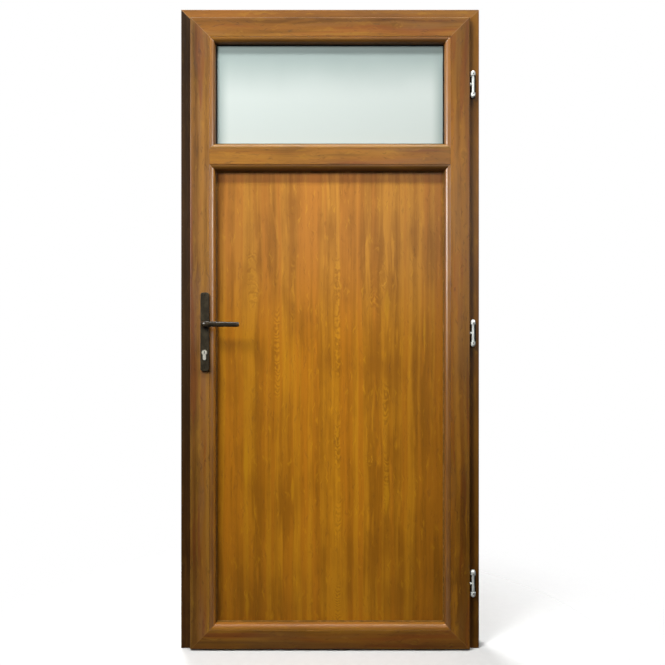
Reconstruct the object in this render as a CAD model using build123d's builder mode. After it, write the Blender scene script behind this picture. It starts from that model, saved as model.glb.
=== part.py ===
import os

from build123d import *

os.makedirs("parts", exist_ok=True)

# Outside of the fixed frame.
frame_width = 980
frame_height = 2100
frame_depth = 70

# How the leaf meets the frame. The leaf laps over the frame on the opening side.
frame_visible = 33
overlap = 8
rebate_gap = 12
leaf_depth = 70
leaf_proud = 22
seal_gap = 3
seal_clear = 0.3
lap_seal_inset = 3
stop_cover = 8
floor_gap = 4

# The extruded profiles.
wall = 3
leaf_flat = 64
transom_flat = 52
light_height = 365
glazing_cover = 20
glazing_leg = 18
groove_half = 8
groove_deep = 3.2
edge_round = 5
small_round = 1.2
frame_front_room = 14
frame_steel_room = 26
leaf_steel_half = 15.5
steel_wall = 1.5
steel_clear = 0.5
steel_end_gap = 6
steel_mouth = 3

# Glass unit, panel, beads and gaskets.
unit_thick = 24
pane_thick = 4
spacer_wide = 7
edge_clear = 5
gasket_thick = 3
gasket_wide = 8
gasket_lip = 4
gasket_tip = 1.2
bead_set = 0.8
bead_wide = 18
bead_round = 16.5
bead_tongue = 1.5
tongue_high = 3
tongue_clear = 0.2
tongue_mid = 12
block_long = 100

# Threshold, its end blocks and the brush under the leaf.
threshold_high = 20
threshold_back_high = 12
threshold_slope_share = 0.55
threshold_wall = 2.5
threshold_front_gap = 1
tread_groove = 2
tread_deep = 0.8
tread_count = 5
brush_half = 3

# Lock, bolts and cylinder.
backset = 30
spindle_height = 1065
cylinder_drop = 92
faceplate_set = 0.2
faceplate_low = 220
faceplate_from_top = 207
case_half = 8
case_wall = 1.2
case_back = 59.2
case_low_gap = 7
case_top_gap = 12
pocket_clear = 0.4
hub_radius = 7.5
hub_collar = 6.3
run_clear = 0.05
slide_clear = 0.15
spindle_side = 8
spindle_clear = 0.05
latch_rise = 45
latch_high = 30
latch_half = 6
latch_out = 11
latch_in = 9
latch_nose = 2
dead_rise = 49
dead_high = 36
dead_half = 5
dead_long = 34
bolt_radius = 5
bolt_long = 28
bolt_low = 320
bolt_from_top = 307
guide_high = 26
guide_long = 22
cylinder_radius = 8.5
cylinder_tail = 10
cylinder_tall = 33
cylinder_proud = 3.5
plug_radius = 6.45
plug_proud = 0.8
key_wide = 2.4
key_tall = 8
key_deep = 18
cam_half = 4.8
cam_slot_half = 5
cam_ring = 8
cam_reach = 13.5
cam_wide = 8
cam_clear = 0.5

# Handles. Plate, lever and screws on both faces of the leaf.
handle_thick = 9
handle_wide = 28
handle_up = 103
handle_down = 153
handle_corner = 8
handle_edge = 2.5
handle_screw_up = 94
handle_screw_down = 142
handle_screw_radius = 2.5
handle_head_radius = 4.5
handle_head_deep = 3
hole_clear = 0.3
neck_radius = 8.5
neck_gap = 0.35
neck_sunk = 5
collar_radius = 11.5
collar_high = 4
lever_reach = 58
lever_long = 118
lever_root = (6.2, 9.2)
lever_tip = (5.2, 7.6)
lever_bend = 14
lever_tip_round = 3.5
spindle_sunk = 18

# Keeps on the lock jamb and the small screws.
keep_thick = 8.5
keep_front = 10
keep_back = 12
keep_margin = 14
keep_pin_half = 32
keep_clear = 0.8
bolt_pocket = 16
bolt_clear = 2
screw_radius = 2
screw_head = 4
screw_head_high = 2.4
screw_long = 15
keep_screw_inset = 6

# Hinges. Sleeve and stud turn with the leaf, knuckles and plate stay on the frame.
hinge_from_top = 250
hinge_from_floor = 217
hinge_middle_share = 0.4933
hinge_off = 11
hinge_front = 12
hinge_plate_thick = 2.5
hinge_plate_wide = 21
hinge_plate_round = 3
rod_half = 28.5
rod_radius = 4.4
pin_radius = 3
knuckle_radius = 8
knuckle_high = 7
dome_high = 9
dome_top = 3.4
foot_wide = 12
socket_side = 2.8
socket_deep = 5
grub_radius = 2.8
grub_deep = 2.2
stud_radius = 3
stud_bite = 0.5
stud_deep = 45
stud_collar = 5.5
stud_collar_thick = 2
hinge_screw_half = 15
end_clear = 0.3

# Holes through the jambs for the screws into the wall.
anchor_radius = 5.1
anchor_end = 250
anchor_next = 500

# Stations worked out from the sizes above.
leaf_front = -leaf_depth / 2
leaf_back = leaf_depth / 2
frame_front = leaf_front + leaf_proud
frame_back = frame_front + frame_depth
flange_back = frame_front - seal_gap
flange_width = overlap + rebate_gap
rebate_floor = frame_visible + overlap
frame_face = rebate_floor + rebate_gap + stop_cover
stop_front = leaf_back + seal_gap
half_frame = frame_width / 2
leaf_right = half_frame - frame_visible
leaf_left = -leaf_right
leaf_top = frame_height - frame_visible
leaf_bottom = floor_gap
leaf_face = leaf_flat + glazing_cover
glazing_front = leaf_back - glazing_leg
unit_back = glazing_front - gasket_thick
unit_front = unit_back - unit_thick
bead_back = unit_front - gasket_thick
bead_front = leaf_front + bead_set
field_left = leaf_left + leaf_flat
field_right = leaf_right - leaf_flat
transom_half = transom_flat / 2
transom_height = leaf_top - leaf_flat - light_height - transom_half
glass_low = transom_height + transom_half
glass_high = leaf_top - leaf_flat
panel_low = leaf_bottom + leaf_flat
panel_high = transom_height - transom_half
groove_floor = flange_width + groove_deep
steel_low = frame_front + wall + frame_front_room + wall
steel_high = steel_low + frame_steel_room
lock_x = leaf_left + flange_width + backset
cylinder_z = spindle_height - cylinder_drop
faceplate_x = leaf_left + flange_width + faceplate_set
groove_x = leaf_left + groove_floor
latch_z = spindle_height + latch_rise
dead_z = cylinder_z + dead_rise
case_low = cylinder_z - cylinder_tall + cylinder_radius - case_low_gap
case_high = latch_z + latch_high / 2 + case_top_gap
handle_front = leaf_front - handle_thick
lever_y = leaf_front - lever_reach + lever_root[0]
rebate_x = half_frame - rebate_floor
hinge_x = leaf_right + hinge_off
hinge_y = frame_front - hinge_front
hinge_plate_y = frame_front - hinge_plate_thick
threshold_front = frame_front + threshold_front_gap
threshold_x = half_frame - frame_face
anchor_y = (steel_low + steel_high) / 2
anchor_low_mid = anchor_end + anchor_next
anchor_heights = (anchor_end, anchor_low_mid, frame_height - anchor_low_mid, frame_height - anchor_end)
bolt_high = leaf_top - bolt_from_top
bolt_heights = (bolt_low, bolt_high)
faceplate_high = leaf_top - faceplate_from_top
hinge_heights = {
    "top": frame_height - hinge_from_top,
    "middle": frame_height * hinge_middle_share,
    "bottom": hinge_from_floor,
}
tongue_low = bead_front + tongue_mid
tongue_top = tongue_low + tongue_high

along_x = Axis.X.direction
along_y = Axis.Y.direction
along_z = Axis.Z.direction
quarter = 90


def save(piece, label):
    piece.part.label = label
    export_step(piece.part, f"parts/{label}.step")


def front_plane(y):
    return Plane(origin=(0, y, 0), x_dir=along_x, z_dir=-along_y)


def side_plane(x):
    return Plane(origin=(x, 0, 0), x_dir=along_y, z_dir=along_x)


def level_plane(z):
    return Plane(origin=(0, 0, z), x_dir=along_x, z_dir=along_z)


def brick(x, y, z, mode=Mode.ADD):
    # A block between pairs of stations.
    with Locations(((x[0] + x[1]) / 2, (y[0] + y[1]) / 2, (z[0] + z[1]) / 2)):
        Box(x[1] - x[0], y[1] - y[0], z[1] - z[0], mode=mode)


def rod_x(y, z, radius, x, mode=Mode.ADD):
    with Locations(((x[0] + x[1]) / 2, y, z)):
        Cylinder(radius, x[1] - x[0], rotation=(0, quarter, 0), mode=mode)


def rod_y(x, z, radius, y, mode=Mode.ADD):
    with Locations((x, (y[0] + y[1]) / 2, z)):
        Cylinder(radius, y[1] - y[0], rotation=(quarter, 0, 0), mode=mode)


def rod_z(x, y, radius, z, mode=Mode.ADD):
    with Locations((x, y, (z[0] + z[1]) / 2)):
        Cylinder(radius, z[1] - z[0], mode=mode)


def side_planes(x, z):
    # The four sides of an upright rectangle. Local x points inwards, local y points back.
    return {
        "lock": (Plane(origin=(x[0], 0, z[0]), x_dir=along_x, z_dir=along_z), z[1] - z[0]),
        "top": (Plane(origin=(x[0], 0, z[1]), x_dir=-along_z, z_dir=along_x), x[1] - x[0]),
        "hinge": (Plane(origin=(x[1], 0, z[1]), x_dir=-along_x, z_dir=-along_z), z[1] - z[0]),
        "bottom": (Plane(origin=(x[1], 0, z[0]), x_dir=along_z, z_dir=-along_x), x[1] - x[0]),
    }


def profile(plane, length, outline, chambers=(), rounds=(), start=True, end=True):
    # One extruded bar with its hollow chambers, cut to a mitre at the ends that are named.
    finish = plane.origin + plane.z_dir * length
    with BuildPart() as bar:
        with BuildSketch(plane) as face:
            with BuildLine():
                Polyline(*outline, close=True)
            make_face()
            for u, v in chambers:
                with Locations(((u[0] + u[1]) / 2, (v[0] + v[1]) / 2)):
                    Rectangle(u[1] - u[0], v[1] - v[0], mode=Mode.SUBTRACT)
            for u, v, radius in rounds:
                fillet(face.vertices().sort_by_distance((u, v))[0], radius=radius)
        extrude(amount=length)
        if start:
            split(bisect_by=Plane(plane.origin, z_dir=plane.z_dir - plane.x_dir), keep=Keep.TOP)
        if end:
            split(bisect_by=Plane(finish, z_dir=-plane.z_dir - plane.x_dir), keep=Keep.TOP)
    return bar.part


def shifted(plane, distance):
    return Plane(plane.origin + plane.z_dir * distance, x_dir=plane.x_dir, z_dir=plane.z_dir)


def euro_sketch(y, grow):
    # The outline of the profile cylinder, grown by a clearance.
    tail_z = cylinder_z - cylinder_tall + cylinder_radius + cylinder_tail / 2
    with BuildSketch(front_plane(y)) as face:
        with Locations((lock_x, cylinder_z)):
            Circle(cylinder_radius + grow)
        with Locations((lock_x, tail_z)):
            Circle(cylinder_tail / 2 + grow)
        with Locations((lock_x, (cylinder_z + tail_z) / 2)):
            Rectangle(cylinder_tail + 2 * grow, cylinder_z - tail_z)
    return face.sketch


# Fixed frame: three extruded bars with an L section, mitred at the top and square at the floor.
frame_outline = [
    (0, frame_front),
    (rebate_floor, frame_front),
    (rebate_floor, stop_front),
    (frame_face, stop_front),
    (frame_face, frame_back),
    (0, frame_back),
]
frame_chambers = [
    ((wall, rebate_floor - wall), (frame_front + wall, steel_low - wall)),
    ((wall, rebate_floor - wall), (steel_low, steel_high)),
    ((wall, rebate_floor - wall), (steel_high + wall, frame_back - wall)),
    ((rebate_floor, frame_face - wall), (stop_front + wall, frame_back - wall)),
]
frame_rounds = [
    (0, frame_front, small_round),
    (rebate_floor, frame_front, small_round),
    (frame_face, frame_back, small_round),
    (0, frame_back, small_round),
]
frame_sides = side_planes((-half_frame, half_frame), (0, frame_height))
frame_bars = {
    name: profile(plane, length, frame_outline, frame_chambers, frame_rounds, name != "lock", name != "hinge")
    for name, (plane, length) in frame_sides.items()
    if name != "bottom"
}

with BuildPart() as frame_head:
    add(frame_bars["top"])
save(frame_head, "frame_head")

with BuildPart() as frame_jamb_hinge:
    add(frame_bars["hinge"])
    for z in anchor_heights:
        rod_x(anchor_y, z, anchor_radius, (rebate_x - wall, half_frame), Mode.SUBTRACT)
    for z in hinge_heights.values():
        for side in (-hinge_screw_half, hinge_screw_half):
            rod_y(hinge_x, z + side, screw_radius + slide_clear, (frame_front, steel_low), Mode.SUBTRACT)
save(frame_jamb_hinge, "frame_jamb_hinge")

pocket_x = (-rebate_x - bolt_pocket, -rebate_x)
dead_span = (dead_z - dead_high / 2 - bolt_clear, dead_z + dead_high / 2 + bolt_clear)
pin_reach = bolt_radius + bolt_clear
lock_keep = (dead_span[0] - keep_margin, latch_z + latch_high / 2 + keep_clear + keep_margin)
keep_spans = {
    "lock": lock_keep,
    "upper": (bolt_high - keep_pin_half, bolt_high + keep_pin_half),
    "lower": (bolt_low - keep_pin_half, bolt_low + keep_pin_half),
}
keep_screw_spots = [
    z for span in keep_spans.values() for z in (span[0] + keep_screw_inset, span[1] - keep_screw_inset)
]
with BuildPart() as frame_jamb_lock:
    add(frame_bars["lock"])
    for z in anchor_heights:
        rod_x(anchor_y, z, anchor_radius, (-half_frame, -rebate_x + wall), Mode.SUBTRACT)
    brick(pocket_x, (-groove_half, groove_half), dead_span, Mode.SUBTRACT)
    for z in bolt_heights:
        brick(pocket_x, (-groove_half, groove_half), (z - pin_reach, z + pin_reach), Mode.SUBTRACT)
    for z in keep_screw_spots:
        rod_x(0, z, screw_radius + slide_clear, (-rebate_x - bolt_pocket, -rebate_x), Mode.SUBTRACT)
save(frame_jamb_lock, "frame_jamb_lock")

# Steel channels inside the frame, open towards the leaf.
channel_low = steel_low + steel_clear
channel_high = steel_high - steel_clear
channel_deep = rebate_floor - wall - steel_mouth
frame_channel = [
    (wall, channel_low),
    (channel_deep, channel_low),
    (channel_deep, channel_low + steel_wall),
    (wall + steel_wall, channel_low + steel_wall),
    (wall + steel_wall, channel_high - steel_wall),
    (channel_deep, channel_high - steel_wall),
    (channel_deep, channel_high),
    (wall, channel_high),
]
corner_gap = rebate_floor + steel_end_gap
for name, (plane, length) in frame_sides.items():
    if name == "bottom":
        continue
    first = steel_end_gap if name == "lock" else corner_gap
    last = steel_end_gap if name == "hinge" else corner_gap
    channel = profile(shifted(plane, first), length - first - last, frame_channel, start=False, end=False)
    with BuildPart() as frame_steel:
        add(channel)
        if name != "top":
            for z in anchor_heights:
                rod_x(anchor_y, z, anchor_radius, (-half_frame, half_frame), Mode.SUBTRACT)
    save(frame_steel, "frame_steel_" + ("head" if name == "top" else name))

# Seal on the frame's stop leg, bent round the two top corners.
stop_seal_low = frame_face - stop_cover + tongue_clear
stop_seal = [
    (stop_seal_low, leaf_back + seal_clear),
    (frame_face - small_round, leaf_back + seal_clear),
    (frame_face - small_round, stop_front),
    (stop_seal_low, stop_front),
]
seal_bars = [
    profile(
        shifted(plane, threshold_high if name == "lock" else 0),
        length - (0 if name == "top" else threshold_high),
        stop_seal,
        start=name != "lock",
        end=name != "hinge",
    )
    for name, (plane, length) in frame_sides.items()
    if name != "bottom"
]
with BuildPart() as frame_seal:
    for bar in seal_bars:
        add(bar)
save(frame_seal, "frame_seal")

# Low aluminium threshold between the jambs, hollow, with tread grooves and a sloping outer part.
slope_y = threshold_front + (frame_back - threshold_front) * threshold_slope_share
threshold_outline = [
    (threshold_front, 0),
    (threshold_front, threshold_high),
    (slope_y, threshold_high),
    (frame_back, threshold_back_high),
    (frame_back, 0),
]
room_mid = (threshold_front + slope_y) / 2
threshold_rooms = [
    (threshold_front + threshold_wall, room_mid - threshold_wall / 2),
    (room_mid + threshold_wall / 2, slope_y - threshold_wall),
]
with BuildPart() as threshold:
    with BuildSketch(side_plane(-threshold_x)) as section_face:
        with BuildLine():
            Polyline(*threshold_outline, close=True)
        make_face()
        for low, high in threshold_rooms:
            with Locations(((low + high) / 2, threshold_high / 2)):
                Rectangle(high - low, threshold_high - 2 * threshold_wall, mode=Mode.SUBTRACT)
        low_room = threshold_back_high - 2 * threshold_wall
        with Locations(((slope_y + frame_back) / 2, threshold_wall + low_room / 2)):
            Rectangle(frame_back - slope_y - 2 * threshold_wall, low_room, mode=Mode.SUBTRACT)
        for number in range(1, tread_count + 1):
            tread_y = threshold_front + (slope_y - threshold_front) * number / (tread_count + 1)
            with Locations((tread_y, threshold_high - tread_deep / 2)):
                Rectangle(tread_groove, tread_deep, mode=Mode.SUBTRACT)
    extrude(amount=2 * threshold_x)
save(threshold, "threshold")

with BuildPart() as threshold_blocks:
    for x in ((-rebate_x, -threshold_x), (threshold_x, rebate_x)):
        brick(x, (threshold_front, stop_front), (0, threshold_high))
save(threshold_blocks, "threshold_blocks")

# Leaf: four mitred bars with a Z section and the transom between the stiles.
leaf_outline = [
    (0, leaf_front),
    (leaf_flat, leaf_front),
    (leaf_flat, tongue_low - tongue_clear),
    (leaf_flat - bead_tongue - tongue_clear, tongue_low - tongue_clear),
    (leaf_flat - bead_tongue - tongue_clear, tongue_top + tongue_clear),
    (leaf_flat, tongue_top + tongue_clear),
    (leaf_flat, glazing_front),
    (leaf_face, glazing_front),
    (leaf_face, leaf_back),
    (flange_width, leaf_back),
    (flange_width, groove_half),
    (groove_floor, groove_half),
    (groove_floor, -groove_half),
    (flange_width, -groove_half),
    (flange_width, flange_back),
    (0, flange_back),
]
leaf_chambers = [
    ((wall, flange_width), (leaf_front + wall, flange_back - wall)),
    ((flange_width + wall, leaf_flat - wall), (leaf_front + wall, -leaf_steel_half - wall)),
    ((groove_floor + wall, leaf_flat - wall), (-leaf_steel_half, leaf_steel_half)),
    ((flange_width + wall, leaf_flat - wall), (leaf_steel_half + wall, leaf_back - wall)),
    ((leaf_flat, leaf_face - wall), (glazing_front + wall, leaf_back - wall)),
]
leaf_rounds = [
    (0, leaf_front, edge_round),
    (leaf_flat, leaf_front, small_round),
    (leaf_face, glazing_front, small_round),
    (leaf_face, leaf_back, small_round),
    (flange_width, leaf_back, small_round),
    (0, flange_back, small_round),
]
leaf_sides = side_planes((leaf_left, leaf_right), (leaf_bottom, leaf_top))
leaf_bars = {
    name: profile(plane, length, leaf_outline, leaf_chambers, leaf_rounds)
    for name, (plane, length) in leaf_sides.items()
}
screw_heights = (spindle_height + handle_screw_up, spindle_height - handle_screw_down)
spindle_hole = hub_collar + hole_clear
through = (leaf_front, leaf_back)
euro_hole = euro_sketch(0, pocket_clear)
case_span = (case_low - pocket_clear, case_high + pocket_clear)
case_width = (-case_half - pocket_clear, case_half + pocket_clear)
guide_reach = guide_high / 2 + pocket_clear

with BuildPart() as leaf_stile_lock:
    add(leaf_bars["lock"])
    brick((groove_x, groove_x + wall), case_width, case_span, Mode.SUBTRACT)
    for z in bolt_heights:
        brick((groove_x, groove_x + wall), case_width, (z - guide_reach, z + guide_reach), Mode.SUBTRACT)
    rod_y(lock_x, spindle_height, spindle_hole, through, Mode.SUBTRACT)
    for z in screw_heights:
        rod_y(lock_x, z, handle_screw_radius + hole_clear, through, Mode.SUBTRACT)
    extrude(euro_hole, amount=leaf_depth, both=True, mode=Mode.SUBTRACT)
save(leaf_stile_lock, "leaf_stile_lock")

stud_end = leaf_right - stud_deep
with BuildPart() as leaf_stile_hinge:
    add(leaf_bars["hinge"])
    for z in hinge_heights.values():
        rod_x(hinge_y, z, stud_radius + slide_clear, (stud_end - slide_clear, leaf_right), Mode.SUBTRACT)
save(leaf_stile_hinge, "leaf_stile_hinge")

with BuildPart() as leaf_rail_top:
    add(leaf_bars["top"])
save(leaf_rail_top, "leaf_rail_top")

with BuildPart() as leaf_rail_bottom:
    add(leaf_bars["bottom"])
save(leaf_rail_bottom, "leaf_rail_bottom")

transom_plane = Plane(origin=(field_left, 0, transom_height), x_dir=-along_z, z_dir=along_x)
transom_wide = transom_half + glazing_cover
tongue_in = transom_half - bead_tongue - tongue_clear
transom_right = [
    (transom_half, leaf_front),
    (transom_half, tongue_low - tongue_clear),
    (tongue_in, tongue_low - tongue_clear),
    (tongue_in, tongue_top + tongue_clear),
    (transom_half, tongue_top + tongue_clear),
    (transom_half, glazing_front),
    (transom_wide, glazing_front),
    (transom_wide, leaf_back),
]
transom_outline = transom_right + [(-u, v) for u, v in reversed(transom_right)]
transom_inside = (-transom_half + wall, transom_half - wall)
transom_chambers = [
    (transom_inside, (leaf_front + wall, -leaf_steel_half - wall)),
    (transom_inside, (-leaf_steel_half, leaf_steel_half)),
    (transom_inside, (leaf_steel_half + wall, leaf_back - wall)),
    ((transom_half, transom_wide - wall), (glazing_front + wall, leaf_back - wall)),
    ((-transom_wide + wall, -transom_half), (glazing_front + wall, leaf_back - wall)),
]
transom_rounds = [
    (side * u, v, small_round)
    for side in (-1, 1)
    for u, v in ((transom_half, leaf_front), (transom_wide, glazing_front), (transom_wide, leaf_back))
]
transom_bar = profile(
    transom_plane,
    field_right - field_left,
    transom_outline,
    transom_chambers,
    transom_rounds,
    start=False,
    end=False,
)
transom_span = (transom_height - transom_wide, transom_height + transom_wide)
with BuildPart() as leaf_transom:
    add(transom_bar)
    for x in ((field_left, field_left + glazing_cover), (field_right - glazing_cover, field_right)):
        brick(x, (glazing_front, leaf_back), transom_span, Mode.SUBTRACT)
save(leaf_transom, "leaf_transom")

# Steel channels inside the leaf, web against the glass side, open towards the lock.
web_in = leaf_flat - wall - steel_wall
mouth = groove_floor + wall + steel_clear
channel_half = leaf_steel_half - steel_clear
leaf_channel = [
    (mouth, -channel_half),
    (leaf_flat - wall, -channel_half),
    (leaf_flat - wall, channel_half),
    (mouth, channel_half),
    (mouth, channel_half - steel_wall),
    (web_in, channel_half - steel_wall),
    (web_in, -channel_half + steel_wall),
    (mouth, -channel_half + steel_wall),
]
leaf_gap = leaf_flat + steel_end_gap
leaf_steels = {
    name: profile(shifted(plane, leaf_gap), length - 2 * leaf_gap, leaf_channel, start=False, end=False)
    for name, (plane, length) in leaf_sides.items()
}
with BuildPart() as leaf_steel_lock:
    add(leaf_steels["lock"])
    rod_y(lock_x, spindle_height, spindle_hole, through, Mode.SUBTRACT)
    for z in screw_heights:
        rod_y(lock_x, z, handle_screw_radius + hole_clear, through, Mode.SUBTRACT)
    extrude(euro_hole, amount=leaf_depth, both=True, mode=Mode.SUBTRACT)
save(leaf_steel_lock, "leaf_steel_lock")

with BuildPart() as leaf_steel_hinge:
    add(leaf_steels["hinge"])
save(leaf_steel_hinge, "leaf_steel_hinge")

bar_half = transom_half - wall
transom_channel = [
    (bar_half, -channel_half),
    (bar_half, channel_half),
    (-bar_half + steel_mouth, channel_half),
    (-bar_half + steel_mouth, channel_half - steel_wall),
    (bar_half - steel_wall, channel_half - steel_wall),
    (bar_half - steel_wall, -channel_half + steel_wall),
    (-bar_half + steel_mouth, -channel_half + steel_wall),
    (-bar_half + steel_mouth, -channel_half),
]
transom_steel = profile(
    shifted(transom_plane, steel_end_gap),
    field_right - field_left - 2 * steel_end_gap,
    transom_channel,
    start=False,
    end=False,
)
with BuildPart() as leaf_steel_rails:
    add(leaf_steels["top"])
    add(leaf_steels["bottom"])
    add(transom_steel)
save(leaf_steel_rails, "leaf_steel_rails")

# Beads round both fields: quarter-round strips, mitred, that clip into a groove with a tongue.
bead_outline = [
    (0, bead_front),
    (bead_wide, bead_front),
    (bead_wide, bead_back),
    (0, bead_back),
    (0, tongue_top),
    (-bead_tongue, tongue_top),
    (-bead_tongue, tongue_low),
    (0, tongue_low),
]
bead_rounds = [
    (0, bead_front, small_round),
    (bead_wide, bead_front, bead_round),
]
fields = {"glass": (glass_low, glass_high), "panel": (panel_low, panel_high)}
for field, span in fields.items():
    for name, (plane, length) in side_planes((field_left, field_right), span).items():
        strip = profile(plane, length, bead_outline, (), bead_rounds)
        with BuildPart() as bead:
            add(strip)
        save(bead, f"{field}_bead_{name}")

# Gaskets in front of and behind glass and panel, one closed ring each.
gasket_out = bead_wide - gasket_wide
front_gasket = [
    (gasket_out, unit_front),
    (bead_wide + gasket_lip, unit_front),
    (bead_wide + gasket_lip, unit_front - gasket_tip),
    (bead_wide, bead_back),
    (gasket_out, bead_back),
]
back_gasket = [
    (gasket_out, unit_back),
    (glazing_cover, unit_back),
    (glazing_cover, glazing_front),
    (gasket_out, glazing_front),
]
for field, span in fields.items():
    ring_bars = [
        profile(plane, length, outline)
        for outline in (front_gasket, back_gasket)
        for plane, length in side_planes((field_left, field_right), span).values()
    ]
    with BuildPart() as gaskets:
        for bar in ring_bars:
            add(bar)
    save(gaskets, f"{field}_gaskets")

# Sealed glass unit, panel and the blocks they stand on.
unit_x = (field_left + edge_clear, field_right - edge_clear)
glass_z = (glass_low + edge_clear, glass_high - edge_clear)
panel_z = (panel_low + edge_clear, panel_high - edge_clear)
with BuildPart() as glass_front_pane:
    brick(unit_x, (unit_front, unit_front + pane_thick), glass_z)
save(glass_front_pane, "glass_front_pane")

with BuildPart() as glass_back_pane:
    brick(unit_x, (unit_back - pane_thick, unit_back), glass_z)
save(glass_back_pane, "glass_back_pane")

spacer_y = (unit_front + pane_thick, unit_back - pane_thick)
with BuildPart() as glass_spacer:
    brick(unit_x, spacer_y, glass_z)
    brick(
        (unit_x[0] + spacer_wide, unit_x[1] - spacer_wide),
        spacer_y,
        (glass_z[0] + spacer_wide, glass_z[1] - spacer_wide),
        Mode.SUBTRACT,
    )
save(glass_spacer, "glass_spacer")

with BuildPart() as door_panel:
    brick(unit_x, (unit_front, unit_back), panel_z)
save(door_panel, "door_panel")

with BuildPart() as setting_blocks:
    for low in (glass_low, panel_low):
        for x in ((unit_x[0], unit_x[0] + block_long), (unit_x[1] - block_long, unit_x[1])):
            brick(x, (unit_front, unit_back), (low, low + edge_clear))
save(setting_blocks, "setting_blocks")

# Seal on the back of the leaf's overlap and brush along the leaf's foot.
lap_seal = [
    (lap_seal_inset, flange_back),
    (overlap - small_round, flange_back),
    (overlap - small_round, frame_front - seal_clear),
    (lap_seal_inset, frame_front - seal_clear),
]
lap_bars = [profile(plane, length, lap_seal) for plane, length in leaf_sides.values()]
with BuildPart() as leaf_seal:
    for bar in lap_bars:
        add(bar)
save(leaf_seal, "leaf_seal")

brush_x = threshold_x - edge_clear
brush_holder_half = groove_half - slide_clear
foot_z = leaf_bottom + flange_width
with BuildPart() as foot_brush:
    brick((-brush_x, brush_x), (-brush_holder_half, brush_holder_half), (foot_z, foot_z + groove_deep))
    brick((-brush_x, brush_x), (-brush_half, brush_half), (threshold_high + seal_clear, foot_z))
save(foot_brush, "foot_brush")

# Lock: long faceplate with the two bolt guides, case, hub, latch and bolts.
latch_span = (latch_z - latch_high / 2, latch_z + latch_high / 2)
dead_body = (dead_z - dead_high / 2, dead_z + dead_high / 2)
guide_x = (groove_x, groove_x + guide_long)
with BuildPart() as lock_faceplate:
    brick((faceplate_x, groove_x), (-groove_half, groove_half), (faceplate_low, faceplate_high))
    for z in bolt_heights:
        brick(guide_x, (-case_half, case_half), (z - guide_high / 2, z + guide_high / 2))
        rod_x(0, z, bolt_radius + run_clear, (faceplate_x, guide_x[1]), Mode.SUBTRACT)
    brick(
        (faceplate_x, groove_x),
        (-latch_half - slide_clear, latch_half + slide_clear),
        (latch_span[0] - slide_clear, latch_span[1] + slide_clear),
        Mode.SUBTRACT,
    )
    brick(
        (faceplate_x, groove_x),
        (-dead_half - slide_clear, dead_half + slide_clear),
        (dead_body[0] - slide_clear, dead_body[1] + slide_clear),
        Mode.SUBTRACT,
    )
save(lock_faceplate, "lock_faceplate")

case_x = (groove_x, leaf_left + case_back)
case_depth = (-case_half, case_half)
with BuildPart() as lock_case:
    brick(case_x, case_depth, (case_low, case_high))
    brick(
        (case_x[0] + case_wall, case_x[1] - case_wall),
        (-case_half + case_wall, case_half - case_wall),
        (case_low + case_wall, case_high - case_wall),
        Mode.SUBTRACT,
    )
    rod_y(lock_x, spindle_height, hub_collar + run_clear, case_depth, Mode.SUBTRACT)
    extrude(euro_hole, amount=leaf_depth, both=True, mode=Mode.SUBTRACT)
    brick(
        (case_x[0], case_x[0] + case_wall),
        (-latch_half - slide_clear, latch_half + slide_clear),
        (latch_span[0] - slide_clear, latch_span[1] + slide_clear),
        Mode.SUBTRACT,
    )
    brick(
        (case_x[0], case_x[0] + case_wall),
        (-dead_half - slide_clear, dead_half + slide_clear),
        (dead_body[0] - slide_clear, dead_body[1] + slide_clear),
        Mode.SUBTRACT,
    )
save(lock_case, "lock_case")

hub_half = case_half - case_wall - slide_clear
square_half = spindle_side / 2
square_hole = square_half + spindle_clear
with BuildPart() as lock_hub:
    rod_y(lock_x, spindle_height, hub_radius, (-hub_half, hub_half))
    rod_y(lock_x, spindle_height, hub_collar, case_depth)
    brick(
        (lock_x - square_hole, lock_x + square_hole),
        case_depth,
        (spindle_height - square_hole, spindle_height + square_hole),
        Mode.SUBTRACT,
    )
save(lock_hub, "lock_hub")

latch_outline = [
    (faceplate_x + latch_in, -latch_half),
    (faceplate_x - latch_out, -latch_half),
    (faceplate_x - latch_out, -latch_half + latch_nose),
    (faceplate_x, latch_half),
    (faceplate_x + latch_in, latch_half),
]
with BuildPart() as latch_bolt:
    with BuildSketch(level_plane(latch_span[0])):
        with BuildLine():
            Polyline(*latch_outline, close=True)
        make_face()
    extrude(amount=latch_high)
save(latch_bolt, "latch_bolt")

with BuildPart() as dead_bolt:
    brick((faceplate_x, faceplate_x + dead_long), (-dead_half, dead_half), dead_body)
save(dead_bolt, "dead_bolt")

for name, z in (("upper", bolt_high), ("lower", bolt_low)):
    with BuildPart() as pin_bolt:
        rod_x(0, z, bolt_radius, (faceplate_x, faceplate_x + bolt_long))
    save(pin_bolt, f"bolt_{name}")

# Profile cylinder: body, two plugs with keyways and the cam between them.
cylinder_half = leaf_depth / 2 + handle_thick + cylinder_proud
cylinder_face = euro_sketch(0, 0)
with BuildPart() as cylinder_body:
    extrude(cylinder_face, amount=cylinder_half, both=True)
    bore = plug_radius + run_clear
    rod_y(lock_x, cylinder_z, bore, (-cylinder_half, cylinder_half), Mode.SUBTRACT)
    cam_room = cam_reach + cam_clear
    rod_y(lock_x, cylinder_z, cam_room, (-cam_slot_half, cam_slot_half), Mode.SUBTRACT)
save(cylinder_body, "cylinder_body")

plug_end = cylinder_half + plug_proud
with BuildPart() as cylinder_plugs:
    for side in (-1, 1):
        plug_y = sorted((side * cam_half, side * plug_end))
        rod_y(lock_x, cylinder_z, plug_radius, plug_y)
        key_y = sorted((side * (plug_end - key_deep), side * plug_end))
        brick(
            (lock_x - key_wide / 2, lock_x + key_wide / 2),
            key_y,
            (cylinder_z - key_tall / 2, cylinder_z + key_tall / 2),
            Mode.SUBTRACT,
        )
save(cylinder_plugs, "cylinder_plugs")

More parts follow.
